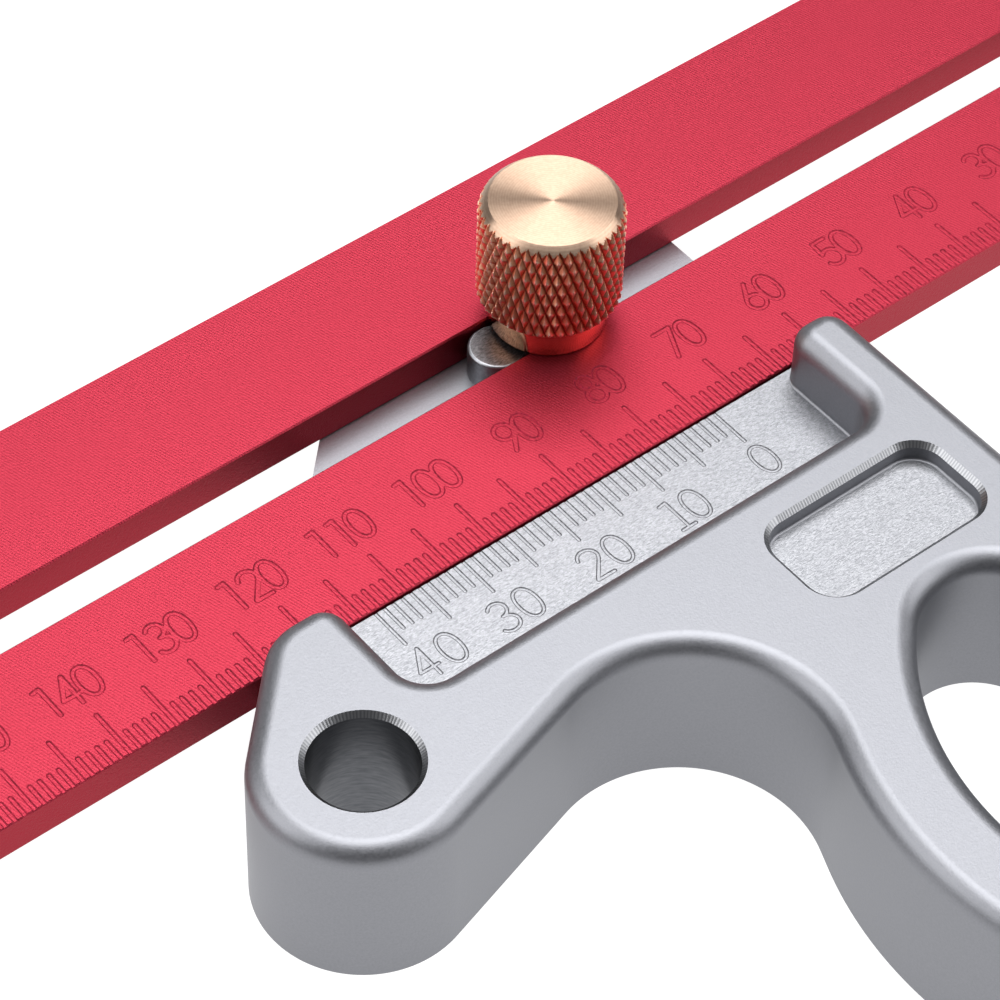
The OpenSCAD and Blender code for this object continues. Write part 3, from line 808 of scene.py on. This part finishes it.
# Geometry Nodes tree for the knob's grip: a grid is rolled up with its columns along the deeper grooves, so that
# their edges stay crisp. The second grooves run along the triangles' edges, and both fade out at the ends.
def knurlTree():
    tree, given = newTree("diamondKnurl", {
        "Int": ["Columns", "Rows"], "Material": ["Material"],
        "Float": ["Ridges", "Diamonds", "Radius", "Depth", "Second Depth", "Tip", "Low", "High", "Foot", "Crown",
                  "Slope", "Drop"]})
    grid = addNode(tree, "GeometryNodeMeshGrid", {}, {
        "Size X": 1.0, "Size Y": 1.0, "Vertices X": given["Columns"], "Vertices Y": given["Rows"]}).outputs["Mesh"]
    split = addNode(tree, "GeometryNodeTriangulate", {"quad_method": "FIXED"}, {"Mesh": grid}).outputs[0]
    spot = addNode(tree, "GeometryNodeInputPosition").outputs[0]
    flat = addNode(tree, "ShaderNodeSeparateXYZ", {}, {0: spot}).outputs
    steps = [("up", "ADD", "flatY", 0.5), ("lead", "MULTIPLY", "flatX", "Ridges"),
             ("climb", "MULTIPLY", "up", "Diamonds"), ("around", "SUBTRACT", "lead", "climb"),
             ("second", "SUBTRACT", "around", "climb")]  # name, operation and what it works on
    for line, depth in (("lead", "Depth"), ("second", "Second Depth")):
        fold, flank, top, raised, sunk, cut = (
            line + word for word in ("Fold", "Flank", "Top", "Raised", "Sunk", "Cut"))
        steps += [(fold, "PINGPONG", line, 0.5), (flank, "MULTIPLY", fold, 2.0), (top, "MINIMUM", flank, "Tip"),
                  (raised, "DIVIDE", top, "Tip"), (sunk, "SUBTRACT", 1.0, raised), (cut, "MULTIPLY", depth, sunk)]
    steps += [("deeper", "MAXIMUM", "leadCut", "secondCut"), ("knurled", "SUBTRACT", "Radius", "deeper"),
              ("span", "SUBTRACT", "High", "Low"), ("rise", "MULTIPLY", "up", "span"),
              ("height", "ADD", "Low", "rise"), ("below", "SUBTRACT", "High", "height"),
              ("down", "MINIMUM", "below", "Drop"), ("twice", "MULTIPLY", "Drop", 2.0),
              ("spent", "DIVIDE", "down", "twice"), ("bend", "SUBTRACT", 1.0, "spent"),
              ("fall", "MULTIPLY", "Slope", "down"), ("bulge", "MULTIPLY", "fall", "bend"),
              ("shoulder", "ADD", "Crown", "bulge"), ("above", "SUBTRACT", "height", "Low"),
              ("flare", "ADD", "Foot", "above"), ("capped", "MINIMUM", "knurled", "shoulder"),
              ("reach", "MINIMUM", "capped", "flare"), ("part", "DIVIDE", "around", "Ridges"),
              ("turn", "MULTIPLY", "part", 2 * math.pi), ("cosine", "COSINE", "turn"), ("sine", "SINE", "turn"),
              ("x", "MULTIPLY", "reach", "cosine"), ("y", "MULTIPLY", "reach", "sine")]
    made = {"flatX": flat["X"], "flatY": flat["Y"], **{socket.name: socket for socket in given if socket.name}}
    for name, operation, *values in steps:
        made[name] = addNode(tree, "ShaderNodeMath", {"operation": operation},
                             {i: made.get(value, value) for i, value in enumerate(values)}).outputs[0]
    point = addNode(tree, "ShaderNodeCombineXYZ", {}, {"X": made["x"], "Y": made["y"], "Z": made["height"]})
    rolled = addNode(tree, "GeometryNodeSetPosition", {}, {"Geometry": split, "Position": point.outputs[0]})
    closed = addNode(tree, "GeometryNodeMergeByDistance", {}, {
        "Geometry": rolled.outputs[0], "Distance": 0.001 * mm})  # the seam where the grid meets itself
    endTree(tree, closed.outputs[0], given["Material"])
    return tree


# Clamp knob: plain collar, diamond knurl and a rounded crown with a flat turned end
knobShape = {
    "ridges": 42, "diamonds": 4.6, "steps": 10, "radius": 7.0, "depth": 0.40, "secondDepth": 0.35, "tip": 0.8,
    "base": 11.0, "low": 2.7, "high": 15.0, "collar": 5.8, "crown": 6.05, "slope": 1.3, "drop": 1.5,
    "chamfer": 0.4, "chamferBulge": 0.3, "crownRings": (1, 0.66, 0.33, 0), "bore": 2.55, "boreDepth": 10.4,
    "sharp": 24, "slack": 0.02,
}


def lathe(work, profile, columns, index, turnBy=0, x=0):  # closed rings of a turned profile, (radius, height) in mm
    rings = []
    for r, z in profile:
        if r == 0:
            rings.append([work.verts.new((x * mm, 0, z * mm))] * columns)
        else:
            turns = [turnBy + 2 * math.pi * (i / columns - 0.5) for i in range(columns)]
            rings.append([work.verts.new(((x + r * math.cos(t)) * mm, r * mm * math.sin(t), z * mm)) for t in turns])
    for low, high in zip(rings, rings[1:]):
        for i in range(columns):
            j = (i + 1) % columns
            corners = list(dict.fromkeys((low[i], low[j], high[j], high[i])))
            work.faces.new(corners).material_index = index


def turnedObject(name, work, materials):
    bmesh.ops.remove_doubles(work, verts=work.verts, dist=mergeGap)
    bmesh.ops.recalc_face_normals(work, faces=work.faces)
    mesh = bpy.data.meshes.new(name)
    work.to_mesh(mesh)
    work.free()
    return newObject(name, mesh, materials)


def makeKnob(k):
    columns = k["ridges"] * k["steps"]
    gripFinish, crownFinish, collarFinish = range(3)
    c, base, collar, bore = k["chamfer"], k["base"], k["collar"], k["bore"]
    low, high, deep = (base + k[name] for name in ("low", "high", "boreDepth"))
    sizes = {"Radius": k["radius"], "Depth": k["depth"], "Second Depth": k["secondDepth"], "Low": low, "High": high,
             "Foot": collar, "Crown": k["crown"], "Drop": k["drop"]}
    grip = grown("grip", knurlTree(), {
        "Columns": columns + 1, "Rows": round(k["diamonds"] * 2 * k["steps"]) + 1, "Ridges": float(k["ridges"]),
        "Diamonds": k["diamonds"], "Tip": k["tip"], "Slope": k["slope"], "Material": brassKnurled,
        **{name: size * mm for name, size in sizes.items()}})
    work = bmesh.new()
    work.from_mesh(grip.data)
    for face in work.faces:
        face.material_index = gripFinish
    bpy.data.objects.remove(grip)
    bulge = k["chamferBulge"] * c
    lathe(work, [(0, deep), (bore, deep), (bore, base + c), (bore + c, base), (collar - c, base),
                 (collar - bulge, base + bulge), (collar, base + c), (collar, low)], columns, collarFinish)
    turnBy = -2 * math.pi * k["diamonds"] / k["ridges"]  # the grid's upper edge is turned by its slant
    lathe(work, [(k["crown"] * share, high) for share in k["crownRings"]], columns, crownFinish, turnBy)
    knob = turnedObject("knob_knurled", work, [brassKnurled, brassTurned, brassPolished])
    mesh = knob.data
    for face in mesh.polygons:  # the shoulder above the grooves is turned, not knurled
        downs = [min(high - mesh.vertices[i].co.z / mm, k["drop"]) for i in face.vertices]
        radii = [mesh.vertices[i].co.xy.length / mm for i in face.vertices]
        shoulder = [k["crown"] + k["slope"] * d * (1 - d / (2 * k["drop"])) for d in downs]
        if all(r > edge - k["slack"] for r, edge in zip(radii, shoulder)):
            face.material_index = crownFinish
    smooth(mesh, k["sharp"])
    return knob


knob = makeKnob(knobShape)
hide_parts("clamp_knob")
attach(knob, "knob")
print("knob turned", len(knob.data.polygons))

# Guide pin: cut off square, with its rim broken in a tumbler
pinShape = {"x": -6.1, "radius": 2.9, "low": 2.0, "high": 10.4, "rim": 0.3, "rimSteps": 4, "columns": 64, "sharp": 40}


def makePin(p):
    work = bmesh.new()
    sideFinish, endFinish = range(2)
    rim = [(p["radius"] - p["rim"] * (1 - math.cos(t)), p["high"] - p["rim"] * (1 - math.sin(t)))
           for t in [math.pi / 2 * i / p["rimSteps"] for i in range(p["rimSteps"] + 1)]]
    lathe(work, [(0, p["low"]), (p["radius"], p["low"]), *rim], p["columns"], sideFinish, x=p["x"])
    lathe(work, [rim[-1], (rim[-1][0] / 2, p["high"]), (0, p["high"])], p["columns"], endFinish, x=p["x"])
    pin = turnedObject("pin_tumbled", work, [steel, sawn])
    smooth(pin.data, p["sharp"])
    return pin


pin = makePin(pinShape)
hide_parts("guide_pin")
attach(pin, "stock")
print("pin made", len(pin.data.polygons))

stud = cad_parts["clamp_stud"]
stud.data.materials.clear()
stud.data.materials.append(steel)
